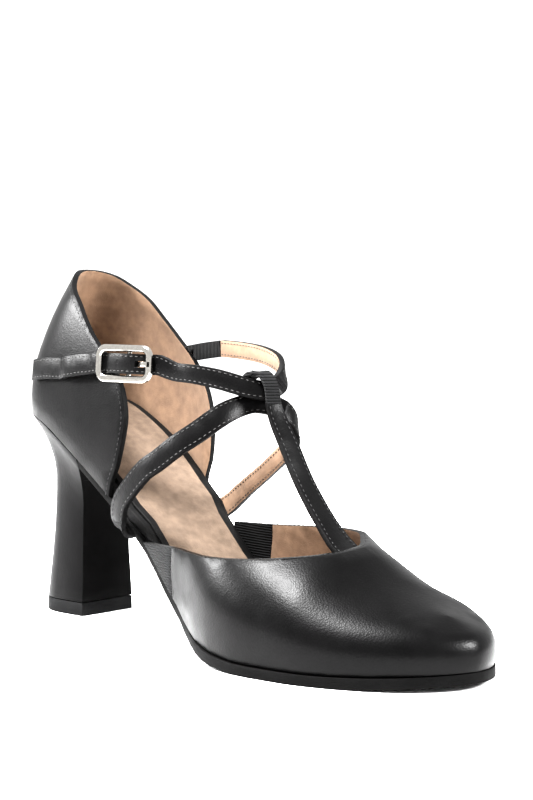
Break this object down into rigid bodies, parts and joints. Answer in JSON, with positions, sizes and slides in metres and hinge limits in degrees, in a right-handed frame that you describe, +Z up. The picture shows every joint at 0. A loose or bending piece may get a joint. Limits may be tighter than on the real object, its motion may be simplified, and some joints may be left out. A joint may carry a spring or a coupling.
{
  "type": "t strap shoe",
  "caption": "Right heeled dance shoe with closed toe, open waist, heel cup, t-strap, crossed strap and buckled ankle strap.",
  "frame": {"origin": "middle of the bounding box, on the floor under heel tip and forepart", "axes": "+X from the heel to the toe, +Y to the inner (medial) side of the foot, +Z up"},
  "size_m": [0.2288, 0.0806, 0.136],
  "materials": {
    "black_leather": "smooth nappa with a soft sheen",
    "tan_sock": "matt suede-like lining leather",
    "board_cover": "satin cover over fibre board",
    "sole_black": "matt dyed sole edge",
    "tip_black": "matt moulded top piece",
    "elastic_black": "ribbed woven elastic",
    "chrome": "polished nickel-coloured plating"
  },
  "bodies": {
    "root": {"outsole": "sole_black", "insole_board": "board_cover", "sock": "tan_sock", "heel": "black_leather", "heel_tip": "tip_black", "vamp": "black_leather", "gore_outer": "elastic_black", "gore_inner": "elastic_black", "quarter": "black_leather", "t_strap": "black_leather", "cross_strap": "black_leather", "ankle_strap": "black_leather", "strap_elastic": "elastic_black", "buckle_frame": "chrome", "buckle_prong": "chrome", "buckle_tab": "black_leather"}
  },
  "joints": []
}
